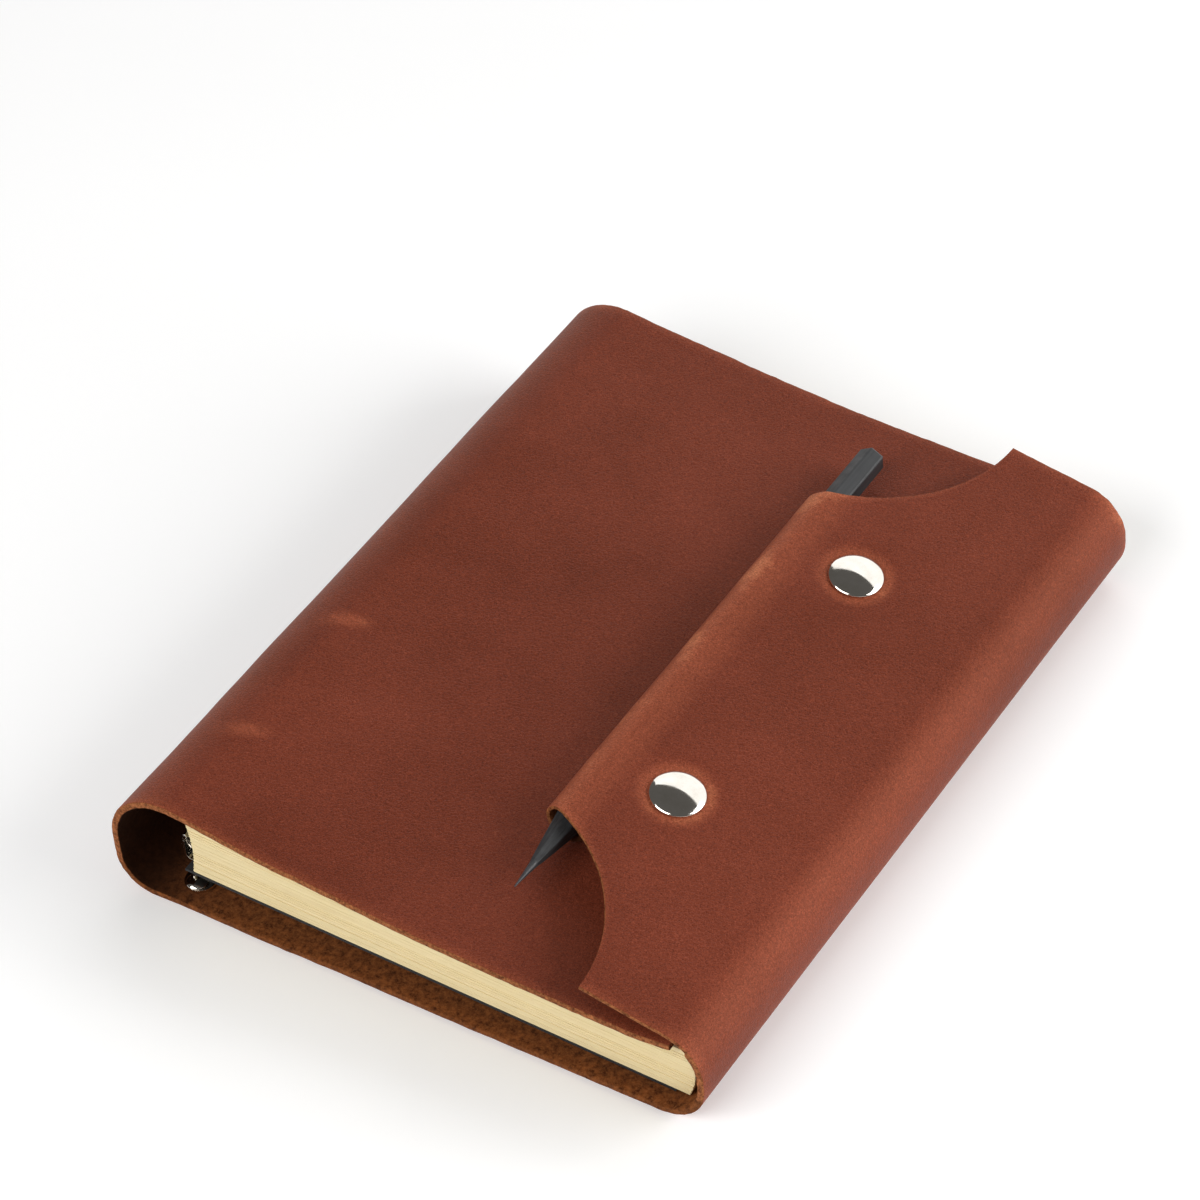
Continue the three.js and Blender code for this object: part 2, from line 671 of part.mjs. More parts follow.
function snapPost() {
  const disc = -LEATHER - GAP;
  return turned([
    [0, disc - POST_DISC_HEIGHT],
    [POST_DISC - 0.4, disc - POST_DISC_HEIGHT],
    [POST_DISC, disc - POST_DISC_HEIGHT / 2],
    [POST_DISC, disc],
    [POST_SHANK, disc],
    [POST_SHANK, studHeight - GAP],
    [0, studHeight - GAP],
  ]);
}

for (const [name, y] of [["near", snapYs[0]], ["far", snapYs[1]]]) {
  const onTop = new THREE.Group();
  onTop.position.set(snapTop.x, y, snapTop.y);
  onTop.rotation.y = flapFall;
  add(`snap_cap_${name}`, snapCap(), nickel, onTop);
  add(`snap_socket_${name}`, snapSocket(), nickel, onTop);
  const onCover = new THREE.Group();
  onCover.position.set(studFoot.x, y, studFoot.y);
  onCover.rotation.y = studTilt;
  add(`snap_stud_${name}`, snapStud(), nickel, onCover);
  add(`snap_post_${name}`, snapPost(), nickel, onCover);
  wrap.add(onTop, onCover);
}

// ---- The pencil ---------------------------------------------------------------------------------

// Everything about the pencil is made along +Y with its point at the origin.
function pencilBarrel() {
  const corner = PENCIL_FLATS / Math.sqrt(3);
  const hexagon = new THREE.CylinderGeometry(corner, corner, PENCIL_LENGTH, 6)
    .rotateY(Math.PI / 6)
    .translate(0, PENCIL_LENGTH / 2, 0);
  const woodStart = (PENCIL_CONE * (LEAD + 2 * GAP)) / corner;
  const flare = (2 * PENCIL_LENGTH * corner) / PENCIL_CONE;
  const cone = new THREE.CylinderGeometry(flare, 0, 2 * PENCIL_LENGTH, 2 * ROUND).translate(0, PENCIL_LENGTH, 0);
  const tip = new THREE.BoxGeometry(4 * corner, 2 * woodStart, 4 * corner);
  const bore = new THREE.CylinderGeometry(LEAD + GAP, LEAD + GAP, 2 * PENCIL_LENGTH, 12);
  return cut(common(hexagon, cone), tip, bore);
}

function pencilLead() {
  const corner = PENCIL_FLATS / Math.sqrt(3);
  const tipLength = (PENCIL_CONE * LEAD) / corner;
  return new THREE.LatheGeometry(
    [v2(0, 0), v2(LEAD, tipLength), v2(LEAD, PENCIL_LENGTH - GAP), v2(0, PENCIL_LENGTH - GAP)],
    12,
  );
}

const pencil = new THREE.Group();
pencil.position.set(sleeve.x, PENCIL_SHIFT - PENCIL_LENGTH / 2, sleeve.y);
add("pencil_barrel", pencilBarrel(), blackPaint, pencil);
add("pencil_lead", pencilLead(), graphite, pencil);
wrap.add(pencil);

export default wrap;
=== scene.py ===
# %% [markdown]
# # A leather ring-binder wrap, closed
#
# One thick, oiled hide is wrapped round a block of cream sheets on a ring mechanism. Its flap closes
# with two snaps, and the flap's end is turned under to hold a pencil. The moving frame is loaded
# first, and every piece that follows is made round it, in metres, in the same coordinates.

import json
import math

import bmesh
import bpy
from mathutils import Matrix, Vector, noise

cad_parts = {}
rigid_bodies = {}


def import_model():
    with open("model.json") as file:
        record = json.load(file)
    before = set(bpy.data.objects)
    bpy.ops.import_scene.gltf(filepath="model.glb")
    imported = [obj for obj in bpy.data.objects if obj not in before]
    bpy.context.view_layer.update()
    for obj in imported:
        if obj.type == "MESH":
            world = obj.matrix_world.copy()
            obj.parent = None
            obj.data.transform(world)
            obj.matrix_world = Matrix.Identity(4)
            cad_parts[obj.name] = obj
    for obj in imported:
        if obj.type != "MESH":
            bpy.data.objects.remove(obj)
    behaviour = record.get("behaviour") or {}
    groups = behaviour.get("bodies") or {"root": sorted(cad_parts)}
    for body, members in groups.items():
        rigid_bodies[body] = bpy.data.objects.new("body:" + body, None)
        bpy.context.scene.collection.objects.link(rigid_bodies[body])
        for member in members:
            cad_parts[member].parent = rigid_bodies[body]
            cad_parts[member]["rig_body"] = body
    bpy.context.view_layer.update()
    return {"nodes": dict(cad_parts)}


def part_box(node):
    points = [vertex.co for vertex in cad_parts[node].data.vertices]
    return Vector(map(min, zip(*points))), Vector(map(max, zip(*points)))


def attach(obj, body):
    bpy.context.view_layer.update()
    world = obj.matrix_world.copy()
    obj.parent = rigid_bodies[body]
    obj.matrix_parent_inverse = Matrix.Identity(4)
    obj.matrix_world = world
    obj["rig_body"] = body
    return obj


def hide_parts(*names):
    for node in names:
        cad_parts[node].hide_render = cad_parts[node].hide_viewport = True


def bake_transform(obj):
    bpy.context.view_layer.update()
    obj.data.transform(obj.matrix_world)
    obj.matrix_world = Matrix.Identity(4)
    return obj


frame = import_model()
MM = 0.001


# %% [markdown]
# ## The places that everything is measured from
#
# The frame gives the size of each part. The hide is 2 mm thick, and its bends are round, so a few
# radii and centres are enough to describe the whole wrap in cross-section. They are worked out from
# the parts' own boxes, in millimetres, so that the skin follows the frame.

# %% Read the wrap's cross-section from the frame


def box_mm(node):
    low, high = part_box(node)
    return low / MM, high / MM


HIDE = 2.0  # thickness
SPINE_TOP, SPINE_FOOT, FORE_FOOT, FORE_TOP = 18.8, 11.0, 13.6, 13.2  # outer radii of the bends
FORE_STRAIGHT = 2.6  # from one bend of the fore-edge to the other
SLEEVE = 6.34  # outer radius of the pencil's sleeve
paper_low, paper_high = box_mm("paper_block")
front_low, front_high = box_mm("front_cover_leather")
lead_low, lead_high = box_mm("pencil_lead")
left = box_mm("spine_leather")[0].x
right = box_mm("fore_edge_leather")[1].x
half_length = front_high.y
height = front_high.z
spine_top = Vector((left + SPINE_TOP, height - SPINE_TOP))
spine_foot = Vector((left + SPINE_FOOT, SPINE_FOOT))
fore_foot = Vector((right - FORE_FOOT, FORE_FOOT))
fore_top = Vector((right - FORE_TOP, FORE_FOOT + FORE_STRAIGHT))
sleeve = Vector(((lead_low.x + lead_high.x) / 2, (lead_low.z + lead_high.z) / 2))
print("wrap is", round(right - left, 1), "mm wide and", round(2 * half_length, 1), "mm long")


# %% [markdown]
# ## Shader maths as Python
#
# A procedural finish is a lot of small sums on masks. Adding each Math node by hand hides the sum, so
# one small class wraps a node socket, and `mask * 0.5 + 1` then adds the nodes itself. Any other
# node comes from `Finish.node`, which sets its settings first and its sockets after.

# %% A wrapped socket, and a builder for materials


class Value:
    def __init__(self, finish, socket):
        self.finish = finish
        self.socket = socket

    def _with(self, operation, other, swap=False):
        pair = [other, self] if swap else [self, other]
        return self.finish.node("ShaderNodeMath", {"operation": operation}, pair)

    def __add__(self, other):
        return self._with("ADD", other)

    def __radd__(self, other):
        return self._with("ADD", other, True)

    def __sub__(self, other):
        return self._with("SUBTRACT", other)

    def __rsub__(self, other):
        return self._with("SUBTRACT", other, True)

    def __mul__(self, other):
        return self._with("MULTIPLY", other)

    def __rmul__(self, other):
        return self._with("MULTIPLY", other, True)


class Finish:
    """A material under construction, with its Principled shader."""

    def __init__(self, name, **constants):
        self.material = bpy.data.materials.new(name)
        self.material.use_nodes = True
        self.tree = self.material.node_tree
        self.shader = self.tree.nodes["Principled BSDF"]
        for socket, value in constants.items():
            self.shader.inputs[socket.replace("_", " ")].default_value = value
        self.place = self.node("ShaderNodeTexCoord", {}, [], "Object")

    def node(self, kind, settings, values, output=0):
        made = self.tree.nodes.new(kind)
        for name, value in settings.items():
            setattr(made, name, value)
        pairs = values.items() if isinstance(values, dict) else enumerate(values)
        for key, value in pairs:
            if isinstance(value, Value):
                self.tree.links.new(value.socket, made.inputs[key])
            else:
                made.inputs[key].default_value = value
        return Value(self, made.outputs[output])

    def noise(self, scale, detail=3.0, roughness=0.55, place=None):
        values = {"Scale": scale, "Detail": detail, "Roughness": roughness}
        return self.node("ShaderNodeTexNoise", {}, {"Vector": place or self.place, **values})

    def stretched(self, x, y, z):
        return self.node("ShaderNodeMapping", {}, {"Vector": self.place, "Scale": (x, y, z)})

    def between(self, value, low, high, to_low=0.0, to_high=1.0):
        return self.node("ShaderNodeMapRange", {"clamp": True}, [value, low, high, to_low, to_high])

    def attribute(self, name):
        return self.node("ShaderNodeAttribute", {"attribute_name": name}, [], "Fac")

    def tinted(self, mask, colour, tint):
        """The colour multiplied by a tint, where the mask is high."""
        return self.mix(mask, colour, self.mix(1.0, colour, tint, "MULTIPLY"))

    def mix(self, factor, a, b, blend="MIX"):
        """Two colours by a factor. A colour is a tuple or a wrapped socket."""
        made = self.tree.nodes.new("ShaderNodeMix")
        made.data_type = "RGBA"
        made.blend_type = blend
        for key, value in ((0, factor), (6, a), (7, b)):
            if isinstance(value, Value):
                self.tree.links.new(value.socket, made.inputs[key])
            elif key:
                made.inputs[key].default_value = (*value, 1)
            else:
                made.inputs[key].default_value = value
        return Value(self, made.outputs[2])

    def into(self, **links):
        for socket, value in links.items():
            self.tree.links.new(value.socket, self.shader.inputs[socket.replace("_", " ")])

    def bump(self, height, strength, distance):
        """Heights in metres would need huge numbers, so distance scales them."""
        made = self.node(
            "ShaderNodeBump", {}, {"Height": height, "Strength": strength, "Distance": distance}
        )
        self.into(Normal=made)


# %% [markdown]
# ## The finish of the hide
#
# Oiled pull-up leather is nearly even in colour until it's bent or rubbed: there the oil moves away,
# and the brown turns lighter and more orange. So the skin colour is a dark red-brown with fine
# speckle, and an attribute for wear and sheen, painted on the mesh where the hide bends and round
# the snaps, lifts it; at the fore-edge's top bend that lift is partly a painted sheen. Three more
# attributes say where the rough flesh side and the cut edges are, and where shade is painted into
# the hide: the spine's hollow and the layer turned under the flap.

# %% Make the hide's material


def hide_finish():
    f = Finish("hide", Roughness=0.55, Specular_IOR_Level=0.2, Specular_Tint=(1.0, 0.5, 0.35, 1))
    cloud = f.noise(16, 4, 0.6)
    patch = f.noise(70, 5, 0.65)
    grain = f.noise(1150, 4, 0.62)
    fine = f.noise(2900, 3, 0.62)
    skin = f.mix(f.between(cloud, 0.34, 0.68), (0.118, 0.0225, 0.0098), (0.164, 0.0330, 0.0160))
    wear_and_sheen = f.attribute("wear_and_sheen")
    # The lift from rubbing; at the fore-edge's top bend it is partly painted sheen.
    rubbed = f.between(wear_and_sheen * 0.70 + patch * wear_and_sheen * 0.75, 0.10, 1.10)
    skin = f.mix(rubbed * 0.85, skin, (0.345, 0.088, 0.040))
    bare = f.between(wear_and_sheen * f.between(patch, 0.42, 0.70), 0.25, 0.85)
    skin = f.mix(bare * 0.7, skin, (0.50, 0.165, 0.075))
    skin = f.tinted(f.between(grain, 0.40, 0.64) * 0.30, skin, (1.9, 2.1, 2.2))
    skin = f.tinted(f.between(fine, 0.54, 0.68) * 0.38, skin, (2.4, 2.7, 2.9))
    skin = f.tinted(f.between(fine, 0.47, 0.35) * 0.62, skin, (0.32, 0.28, 0.26))
    suede = f.noise(480, 6, 0.78)
    flesh_colour = f.mix(f.between(suede, 0.38, 0.62), (0.055, 0.016, 0.0055), (0.25, 0.080, 0.023))
    pile = f.between(f.noise(1700, 4, 0.7), 0.5, 0.72)
    flesh_colour = f.mix(pile * 0.65, flesh_colour, (0.30, 0.11, 0.035))
    crumb = f.between(f.noise(900, 5, 0.75), 0.36, 0.64)
    rim = f.mix(crumb, (0.085, 0.025, 0.010), (0.46, 0.165, 0.062))
    flesh = f.attribute("flesh")
    cut = f.attribute("cut")
    colour = f.mix(f.between(flesh, 0.35, 0.65), skin, flesh_colour)
    colour = f.mix(f.between(cut, 0.25, 0.7), colour, rim)
    # Painted shade: the colour goes nearly black in the spine's hollow and on the layer under the
    # flap.
    painted_shade = f.attribute("painted_shade")
    f.into(Base_Color=f.mix(painted_shade, colour, (0.010, 0.0035, 0.002)))
    dull = f.between(flesh + cut, 0.1, 0.7, 0.0, 0.36)
    f.into(Roughness=f.between(grain, 0.3, 0.7, 0.46, 0.60) + dull + rubbed * 0.05)
    pores = f.node(
        "ShaderNodeTexVoronoi",
        {"feature": "DISTANCE_TO_EDGE"},
        {"Vector": f.place, "Scale": 900.0, "Randomness": 1.0},
    )
    skin_height = f.between(pores, 0.0, 0.12) * 0.35 + grain * 0.6 + f.noise(240, 3) * 0.6
    fibre_height = f.noise(700, 6, 0.8) * 1.8
    rough = f.between(flesh + cut, 0.1, 0.7)
    f.bump(skin_height * (1 - rough) + fibre_height * rough, 0.6, 0.00030)
    return f.material


hide_material = hide_finish()


# %% [markdown]
# ## Metal, paper, card and pencil
#
# The snaps and rings are nickel plate: nearly a mirror, so only faint scratches and a slightly warm
# tint keep them from looking like glass. The sheets' edges show as fine stripes, so the paper's
# colour and height both vary along Z, much faster than along the sheets.

# %% Make the other materials


def nickel_finish():
    f = Finish("nickel", Metallic=1.0, Roughness=0.1)
    smudge = f.noise(220, 4, 0.6)
    f.into(Base_Color=f.mix(f.between(smudge, 0.35, 0.7), (0.86, 0.82, 0.76), (0.74, 0.70, 0.63)))
    f.into(Roughness=f.between(smudge, 0.35, 0.75, 0.06, 0.15))
    scratch = f.noise(500, 2, 0.5, f.stretched(1.0, 9.0, 1.0))
    f.bump(scratch, 0.05, 0.00005)
    return f.material


def paper_finish():
    f = Finish("paper", Roughness=0.85, Specular_IOR_Level=0.25)
    sheets = f.noise(60, 4, 0.7, f.stretched(0.2, 0.2, 45.0))
    blotch = f.noise(45, 4, 0.6)
    tone = f.mix(f.between(sheets, 0.30, 0.70), (0.74, 0.60, 0.325), (0.85, 0.715, 0.43))
    f.into(Base_Color=f.mix(f.between(blotch, 0.35, 0.7) * 0.35, tone, (0.88, 0.76, 0.49)))
    f.into(Roughness=f.between(sheets, 0.3, 0.7, 0.8, 0.92))
    f.bump(sheets, 0.2, 0.00012)
    return f.material


def card_finish():
    f = Finish("black_card", Roughness=0.6)
    fleck = f.noise(1500, 4, 0.65)
    black, grey = (0.009, 0.009, 0.010), (0.030, 0.030, 0.032)
    f.into(Base_Color=f.mix(f.between(fleck, 0.35, 0.75), black, grey))
    f.into(Roughness=f.between(fleck, 0.3, 0.7, 0.5, 0.7))
    f.bump(fleck, 0.25, 0.0001)
    return f.material


def pencil_finish(name, dark, light, roughness, along):
    f = Finish(name, Roughness=roughness)
    streak = f.noise(1300, 4, 0.65, f.stretched(1.0, along, 1.0))
    rub = f.noise(300, 4, 0.6)
    f.into(Base_Color=f.mix(f.between(streak, 0.3, 0.72), dark, light))
    f.into(Roughness=f.between(rub, 0.3, 0.7, roughness - 0.08, roughness + 0.1))
    f.bump(streak, 0.35, 0.00012)
    return f.material


nickel = nickel_finish()
paper = paper_finish()
black_card = card_finish()
pencil_paint = pencil_finish(
    "pencil_paint", (0.010, 0.011, 0.012), (0.024, 0.025, 0.027), 0.48, 0.05
)
stained_wood = pencil_finish(
    "stained_wood", (0.008, 0.008, 0.009), (0.045, 0.046, 0.048), 0.62, 0.1
)
graphite = pencil_finish("graphite", (0.018, 0.018, 0.019), (0.06, 0.06, 0.063), 0.42, 0.5)
print("materials:", [m.name for m in bpy.data.materials])


# %% [markdown]
# ## From a bmesh to a finished piece
#
# Every piece ends the same way: the bmesh becomes a mesh at the origin, gets its material, and its
# faces are smoothed except across sharp edges. Corners are rounded with one small helper.

# %% Finish a piece


def piece(bm, name, material, sharp=40.0):
    mesh = bpy.data.meshes.new(name)
    for face in bm.faces:
        face.smooth = True
    for edge in bm.edges:
        if edge.is_manifold and edge.calc_face_angle(0.0) > math.radians(sharp):
            edge.smooth = False
    bm.to_mesh(mesh)
    bm.free()
    mesh.materials.append(material)
    made = bpy.data.objects.new(name, mesh)
    bpy.context.scene.collection.objects.link(made)
    print(name, len(mesh.polygons), "faces")
    return made


def sharp_edges(bm, limit):
    turn = math.radians(limit)
    return [e for e in bm.edges if e.is_manifold and e.calc_face_angle(0.0) > turn]


def round_over(bm, edges, width, steps, clamp=False):
    """A rounded corner of a width in millimetres along some edges."""
    bmesh.ops.bevel(
        bm,
        geom=edges,
        offset=width * MM,
        segments=steps,
        profile=0.5,
        affect="EDGES",
        material=-1,
        clamp_overlap=clamp,
    )


# %% [markdown]
# ## The line of the hide
#
# The whole hide is one strip, so its cross-section is one long line: up the front cover from its
# free edge, round the spine, under the back, round the fore-edge, along the flap, round the pencil
# and back under the flap. Each step of the line holds a point on the outside, the way out of the
# hide there, how far the hide reaches to each side, and how rubbed it is, with a painted sheen
# added at the fore-edge's top bend.

# %% Walk along the hide


class Step:
    def __init__(self, x, z, nx, nz, wear_and_sheen=0.0):
        self.point = Vector((x, z))
        self.out = Vector((nx, nz)).normalized()
        self.wear_and_sheen = wear_and_sheen
        self.reach = half_length


def along_arc(centre, radius, start, end, gap, wear_and_sheen):
    count = max(2, round(abs(math.radians(end - start)) * radius / gap))
    steps = []
    for i in range(count + 1):
        angle = math.radians(start + (end - start) * i / count)
        out = (math.cos(angle), math.sin(angle))
        at = (centre.x + radius * out[0], centre.y + radius * out[1])
        steps.append(Step(*at, *out, wear_and_sheen(math.degrees(angle))))
    return steps


def along_line(a, b, gap):
    count = max(1, round((b - a).length / gap))
    run = (b - a).normalized()
    return [Step(*(a + (b - a) * i / count), run.y, -run.x) for i in range(1, count)]


def along_curve(a, b, c, d, count):
    steps = []
    for i in range(count + 1):
        t = i / count
        u = 1 - t
        at = a * u**3 + b * 3 * u * u * t + c * 3 * u * t * t + d * t**3
        run = (b - a) * 3 * u * u + (c - b) * 6 * u * t + (d - c) * 3 * t * t
        steps.append(Step(at.x, at.y, -run.y, run.x))
    return steps


def hill(x, middle, width):
    """A smooth bump, 1 at its middle and near 0 past twice its width."""
    return math.exp(-(((x - middle) / width) ** 2))


def wear_and_sheen_by(amount, middle, width):
    """How rubbed a bend is, at each angle round it; at the fore-edge's top bend, partly painted
    sheen.
    """
    return lambda angle: amount * hill(angle, middle, width)


# %% Find the front cover's curve and the fall of the flap
COVER_FALL, COVER_END_FALL = math.radians(9), math.radians(1)
cover_start = spine_top + SPINE_TOP * Vector((math.sin(COVER_FALL), math.cos(COVER_FALL)))
cover_end = Vector((front_high.x, front_low.z + HIDE))
for vertex in frame["nodes"]["front_cover_leather"].data.vertices:
    if vertex.co.x / MM > front_high.x - 0.2:
        cover_end.y = max(cover_end.y, vertex.co.z / MM)
reach = (cover_end.x - cover_start.x) / 3
cover = along_curve(
    cover_start,
    cover_start + Vector((reach, -reach * math.tan(COVER_FALL))),
    cover_end + Vector((-1.2 * reach, reach * math.tan(COVER_END_FALL))),
    cover_end,
    84,
)
EDGE_CURL, CURL_WIDTH = 1.1, 16  # the cover's free edge curls up a little
for step in cover:
    curl = max(0.0, (step.point.x - cover_end.x + CURL_WIDTH) / CURL_WIDTH)
    step.point.y += EDGE_CURL * curl**2
cover.reverse()

between = fore_top - sleeve
fall = math.atan2(-between.y, between.x) - math.asin((FORE_TOP - SLEEVE) / between.length)
flap_angle = 90 - math.degrees(fall)
flap_out = Vector((math.sin(fall), math.cos(fall)))
flap_run = Vector((math.cos(fall), -math.sin(fall)))
crest = sleeve + SLEEVE * flap_out
UNROLL = 282  # degrees round the sleeve where the hide leaves it
print("the flap falls", round(math.degrees(fall), 1), "degrees")


def line_of_hide():
    """The steps from the cover's free edge to the far side of the pencil."""
    top = 90 - math.degrees(COVER_FALL)
    rows = list(cover[:-1])
    rows += along_arc(spine_top, SPINE_TOP, top, 180, 1.1, wear_and_sheen_by(0.42, 128, 30))
    rows += along_line(Vector((left, spine_top.y)), Vector((left, SPINE_FOOT)), 1.4)
    rows += along_arc(spine_foot, SPINE_FOOT, 180, 270, 0.9, wear_and_sheen_by(0.25, 225, 40))
    rows += along_line(Vector((spine_foot.x, 0)), Vector((fore_foot.x, 0)), 2.4)
    rows += along_arc(fore_foot, FORE_FOOT, -90, 0, 0.9, wear_and_sheen_by(0.22, -40, 40))
    rows += along_line(Vector((right, FORE_FOOT)), Vector((right, fore_top.y)), 0.9)
    # Partly painted sheen on the fore-edge's top bend, on top of its rubbing.
    rows += along_arc(fore_top, FORE_TOP, 0, flap_angle, 0.9, wear_and_sheen_by(0.30, 38, 34))
    rows += along_line(fore_top + FORE_TOP * flap_out, crest, 1.5)
    rows += along_arc(sleeve, SLEEVE, flap_angle, UNROLL, 0.7, wear_and_sheen_by(1.0, 118, 44))
    return rows


# %% [markdown]
# The flap narrows along a round cut-out at each end, so extra steps are put in where its width
# changes fastest. Past the pencil the hide comes back under the flap and lies against it, where the
# snaps hold it. There the outside of the hide faces down, so its way out is turned to match.

# %% Give the flap its cut-outs and its turned-under end
CUT, CUT_FROM_SLEEVE, CUT_PAST_END = 48.2, 16.4, 1.4  # its radius, and where its centre lies
SNAP_FROM_EDGE = 45.4
SLEEVE_SLOPE = math.radians(12)  # of the hide as it leaves the sleeve
LAYER = 4.3  # from the flap's outside to the outside of the layer under it
cut_x = sleeve.x - CUT_FROM_SLEEVE
cut_y = half_length + CUT_PAST_END
fold_x = sleeve.x - SLEEVE
CUT_STEPS = 44


def reach_at(x):
    """Half the width of the flap at a place across it."""
    return min(half_length, cut_y - math.sqrt(max(0.0, CUT**2 - (x - cut_x) ** 2)))


def on_flap(x):
    return crest + flap_run * ((x - crest.x) / flap_run.x)


def flap_rows(rows):
    start = math.asin((cut_y - half_length) / CUT)
    stop = math.acos((crest.x - cut_x) / CUT)
    corner = cut_x + CUT * math.cos(start)
    first = max(i for i, r in enumerate(rows) if r.point.x > corner + 0.2)
    last = min(i for i, r in enumerate(rows) if i > first and r.point.x < crest.x)
    made = []
    for i in range(CUT_STEPS + 1):
        angle = start + (stop - start) * (i / CUT_STEPS) ** 1.4
        step = Step(*on_flap(cut_x + CUT * math.cos(angle)), *flap_out)
        step.reach = cut_y - CUT * math.sin(angle)
        step.wear_and_sheen = 0.46 * hill(step.point.x, crest.x, 6.5)
        made.append(step)
    for row in rows[last:]:
        row.reach = reach_at(row.point.x if row.out.y > 0 else fold_x)
    return rows[: first + 1] + made + rows[last:]


rows = flap_rows(line_of_hide())
rise = rows[-1].point.copy()
snap_x = right - SNAP_FROM_EDGE
pinch = on_flap(snap_x - 6.2) - flap_out * LAYER
pull = (pinch.x - rise.x) / 2.6
under = along_curve(
    rise,
    rise + pull * Vector((math.cos(SLEEVE_SLOPE), math.sin(SLEEVE_SLOPE))),
    pinch - flap_run * pull,
    pinch,
    14,
)[1:]
tail = on_flap(snap_x + 6.5) - flap_out * LAYER
under += along_line(pinch, tail, 1.4) + [Step(*tail, *(-flap_out))]
for step in under:
    step.out = step.out if step.out.y < 0 else -step.out
    step.reach = reach_at(fold_x) - 1.5 * min(1.0, (step.point.x - rise.x) / 6)
rows += under
print(len(rows), "steps along the hide")


# %% [markdown]
# ## One skin from a rolled-up grid
#
# A flat grid is rolled into a flat tube: some of its columns lie on the outside of the hide, some
# on the flesh side, and a few go round each cut edge, which gives real, softly rounded edges with
# no modifier. The hide is parted only where nothing bends, in the middle of the back, the spine
# and the fore-edge.
# Slow noise moves the skin by a few tenths of a millimetre, as no real hide lies dead flat, and the
# snaps press a shallow dish into it.

# %% Roll the grid into a hide
ACROSS = 104  # faces across the width
EDGE_ROUND = 0.45  # radius of the cut edges
SKIVE, SKIVE_WIDTH = 0.5, 5.0  # the flap's edges are pared thinner, over this width
SNAP_YS = [-45.3, 45.3]
RING_MARK_YS = (-77.0, -31.0)


def ring_of_places():
    """For each column, its share of the half-width, and how far it is past that and into the hide."""
    places = [(-1 + 2 * i / ACROSS, 0.0, 0.0) for i in range(ACROSS + 1)]
    for i in range(1, 4):
        turn = math.radians(90 * i / 3)
        places.append((1.0, EDGE_ROUND * math.sin(turn), EDGE_ROUND * (1 - math.cos(turn))))
    places.append((1.0, EDGE_ROUND + 0.03, HIDE / 2))
    for i in range(0, 3):
        turn = math.radians(90 - 90 * i / 3)
        depth = HIDE - EDGE_ROUND * (1 - math.cos(turn))
        places.append((1.0, EDGE_ROUND * math.sin(turn), depth))
    over = [(-s, -p, d) for s, p, d in places]
    return places + [(s, p, HIDE - d) for s, p, d in over]


ring = ring_of_places()


def wander(x, y, z, size, seed):
    return noise.noise(Vector((x / size, y / size + seed, z / size)))


def snap_dish(x, y):
    """How deep the snaps press the skin, and how much they rub it."""
    near = min(math.hypot(x - snap_x, y - s) for s in SNAP_YS)
    return 0.42 * hill(near, 6.0, 4.2), 0.6 * hill(near, 8.0, 2.4)


def from_edge(x, y):
    """How far a place on the flap is from the nearest cut edge."""
    return min(half_length - abs(y), math.hypot(x - cut_x, cut_y - abs(y)) - CUT)


def is_flap(row):
    return row.reach < half_length - 0.01 or row.point.y > on_flap(row.point.x).y - 2.5


def width_place(row, place):
    """How far along the width a column lies, with the slight raggedness of a cut by hand."""
    share, past, _ = place
    ragged = 0.20 * wander(row.point.x, share * 90, row.point.y, 1.7, 7)
    ragged += 0.40 * wander(row.point.x, share * 9, row.point.y, 28, 3)
    near_edge = (ragged if share > 0 else -ragged) * abs(share) ** 30
    return share * (row.reach - EDGE_ROUND) + past + near_edge


def skin_point(row, place, thin, push):
    x, z = row.point.x, row.point.y
    y = width_place(row, place)
    mid = HIDE / 2
    depth = mid + (place[2] - mid) * thin
    if is_flap(row):
        skived = max(0.0, 1 - max(0.0, from_edge(x, y)) / SKIVE_WIDTH)
        depth *= 1 - SKIVE * skived * skived
    lift = 0.30 * wander(x, y, z, 46, 11) + 0.08 * wander(x, y, z, 11, 5)
    on_top = row.out.y > 0.5
    if not on_top:
        lift *= 0.25
    if z < 1.5 and row.out.y < 0:
        lift = min(0.0, lift) * 0.3
    dish = rubbed = 0.0
    if on_top and x > cut_x - 5 and is_flap(row):
        dish, rubbed = snap_dish(x, y)
    lift -= dish
    at = row.point + row.out * (lift - depth) + Vector((-row.out.y, row.out.x)) * push
    return Vector((at.x, y, at.y)) * MM, rubbed


def ring_marks(row, at):
    """The rings press the hide from inside, and rub pale ovals into the top of the spine."""
    if row.out.y < 0.3 or at.x > cover_start.x + 14:
        return 0.0
    slant = 0.35 * (at.x - cover_start.x)
    along = max(hill(at.y - slant, y, 2.4) for y in RING_MARK_YS)
    return 0.62 * hill(at.x, cover_start.x, 6.0) * along


def shadowed(row, inside):
    """Painted shade: the dark of the spine's hollow, and of the layer that is turned under the flap.
    """
    if row.out.y < 0 and is_flap(row) and row.point.y > 20:
        return 0.75 if row.point.x > sleeve.x else 0.3
    hollow = hill(max(0.0, row.point.x - left - 6), 0.0, 16.0)
    return 0.93 * hollow if inside > 0.9 else 0.0


